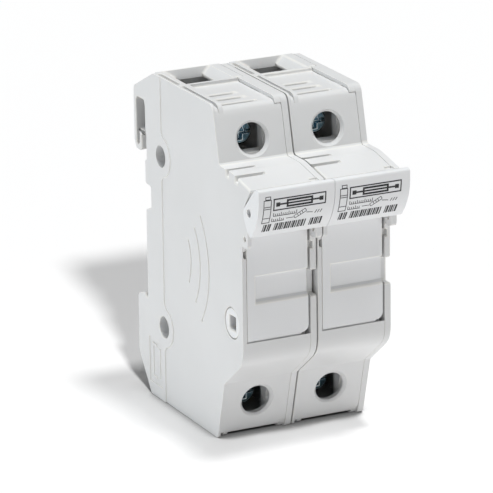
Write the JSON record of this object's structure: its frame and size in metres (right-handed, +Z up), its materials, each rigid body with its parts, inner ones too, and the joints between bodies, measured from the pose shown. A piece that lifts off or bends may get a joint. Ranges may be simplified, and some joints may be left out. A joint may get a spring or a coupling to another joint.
{
  "type": "modular fuse holder",
  "caption": "Rail-mounted modular fuse holder: moulded poles side by side, each with a swing-out carrier for a cartridge fuse and a box-clamp screw terminal at each end.",
  "frame": {"origin": "middle of the underside, which it stands on", "axes": "+X across the poles to the right seen from the front, +Y from the handles to the rail, +Z up"},
  "size_m": [0.0348, 0.0604, 0.0731],
  "materials": {
    "housing": "satin white moulded plastic",
    "drawer": "satin cool white moulded plastic",
    "fuse_body": "matt ceramic tube",
    "plated_copper": "silver-plated copper",
    "zinc_steel": "blue zinc-plated steel",
    "bare_steel": "bright steel"
  },
  "bodies": {
    "housing": {"shell_1": "housing", "cover_1": "housing", "contact_upper_1": "plated_copper", "contact_lower_1": "plated_copper", "jaw_spring_upper_1": "bare_steel", "jaw_spring_lower_1": "bare_steel", "shell_2": "housing", "cover_2": "housing", "contact_upper_2": "plated_copper", "contact_lower_2": "plated_copper", "jaw_spring_upper_2": "bare_steel", "jaw_spring_lower_2": "bare_steel", "rivet_upper": "bare_steel", "rivet_lower": "bare_steel"},
    "carriers": {"carrier_1": "drawer", "fuse_tube_1": "fuse_body", "fuse_cap_upper_1": "plated_copper", "fuse_cap_lower_1": "plated_copper", "carrier_2": "drawer", "fuse_tube_2": "fuse_body", "fuse_cap_upper_2": "plated_copper", "fuse_cap_lower_2": "plated_copper", "coupling_bar": "bare_steel", "tie_rod": "bare_steel"},
    "clamp_screw_upper_1": {"clamp_screw_upper_1": "zinc_steel"},
    "clamp_cage_upper_1": {"clamp_cage_upper_1": "zinc_steel"},
    "clamp_screw_lower_1": {"clamp_screw_lower_1": "zinc_steel"},
    "clamp_cage_lower_1": {"clamp_cage_lower_1": "zinc_steel"},
    "clamp_screw_upper_2": {"clamp_screw_upper_2": "zinc_steel"},
    "clamp_cage_upper_2": {"clamp_cage_upper_2": "zinc_steel"},
    "clamp_screw_lower_2": {"clamp_screw_lower_2": "zinc_steel"},
    "clamp_cage_lower_2": {"clamp_cage_lower_2": "zinc_steel"}
  },
  "joints": [
    {"name": "carriers_swing", "type": "hinge", "parent": "housing", "child": "carriers", "pos_m": [0, -0.01622, 0.02793], "axis": [1, 0, 0], "range_deg": [0, 58]},
    {"name": "screw_upper_1_turn", "type": "hinge", "parent": "housing", "child": "clamp_screw_upper_1", "pos_m": [-0.00895, -0.00347, 0.0652], "axis": [0, 1, 0], "range_deg": [0, 1441]},
    {"name": "cage_upper_1_slide", "type": "slide", "parent": "housing", "child": "clamp_cage_upper_1", "axis": [0, -1, 0], "range_m": [0, 0.0032]},
    {"name": "screw_lower_1_turn", "type": "hinge", "parent": "housing", "child": "clamp_screw_lower_1", "pos_m": [-0.00895, -0.00347, 0.0079], "axis": [0, 1, 0], "range_deg": [0, 1441]},
    {"name": "cage_lower_1_slide", "type": "slide", "parent": "housing", "child": "clamp_cage_lower_1", "axis": [0, -1, 0], "range_m": [0, 0.0032]},
    {"name": "screw_upper_2_turn", "type": "hinge", "parent": "housing", "child": "clamp_screw_upper_2", "pos_m": [0.00855, -0.00347, 0.0652], "axis": [0, 1, 0], "range_deg": [0, 1441]},
    {"name": "cage_upper_2_slide", "type": "slide", "parent": "housing", "child": "clamp_cage_upper_2", "axis": [0, -1, 0], "range_m": [0, 0.0032]},
    {"name": "screw_lower_2_turn", "type": "hinge", "parent": "housing", "child": "clamp_screw_lower_2", "pos_m": [0.00855, -0.00347, 0.0079], "axis": [0, 1, 0], "range_deg": [0, 1441]},
    {"name": "cage_lower_2_slide", "type": "slide", "parent": "housing", "child": "clamp_cage_lower_2", "axis": [0, -1, 0], "range_m": [0, 0.0032]}
  ],
  "couplings": [
    {"joint": "screw_upper_1_turn", "follows": "cage_upper_1_slide", "rad_per_m": 7854},
    {"joint": "screw_lower_1_turn", "follows": "cage_lower_1_slide", "rad_per_m": 7854},
    {"joint": "screw_upper_2_turn", "follows": "cage_upper_2_slide", "rad_per_m": 7854},
    {"joint": "screw_lower_2_turn", "follows": "cage_lower_2_slide", "rad_per_m": 7854}
  ]
}
